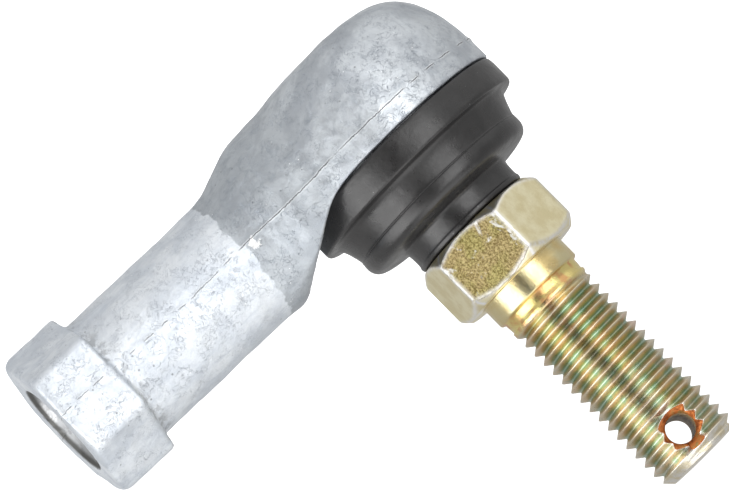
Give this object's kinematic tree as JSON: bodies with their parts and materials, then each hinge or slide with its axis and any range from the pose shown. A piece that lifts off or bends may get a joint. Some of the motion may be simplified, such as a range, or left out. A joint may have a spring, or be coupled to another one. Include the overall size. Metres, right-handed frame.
{
  "type": "tie rod end",
  "caption": "Cast tie rod end: closed ball housing on a female threaded hex-ended shank, booted ball stud with hex, pilot collar, thread and cotter hole.",
  "frame": {"origin": "on the stud axis, in the face of the stud hex that seats on the steering arm", "axes": "+Z along the stud towards its tip, +X parallel to the shank towards its mouth"},
  "size_m": [0.0463, 0.021, 0.0457],
  "materials": {
    "housing_casting": "satin, as cast",
    "stud_zinc": "yellow zinc chromate over steel, shiny",
    "boot_rubber": "satin moulded",
    "seat_plastic": "moulded",
    "inner_steel": "greased"
  },
  "bodies": {
    "housing": {"housing": "housing_casting", "retaining_washer": "inner_steel", "snap_ring": "inner_steel", "boot_base_ring": "inner_steel"},
    "ball_seat": {"lower_seat": "seat_plastic", "upper_seat": "seat_plastic", "preload_spring": "inner_steel", "dust_boot": "boot_rubber"},
    "boot_neck": {"boot_neck_ring": "inner_steel"},
    "stud": {"ball_stud": "stud_zinc"}
  },
  "joints": [
    {"name": "stud_swivel", "type": "hinge", "parent": "housing", "child": "ball_seat", "pos_m": [0, 0, -0.0166], "axis": [0, 0, 1], "continuous": true},
    {"name": "stud_tilt", "type": "hinge", "parent": "ball_seat", "child": "boot_neck", "pos_m": [0, 0, -0.0166], "axis": [0, 1, 0], "range_deg": [-25, 25], "deforming": ["dust_boot"]},
    {"name": "stud_spin", "type": "hinge", "parent": "boot_neck", "child": "stud", "pos_m": [0, 0, -0.0166], "axis": [0, 0, 1], "continuous": true}
  ]
}
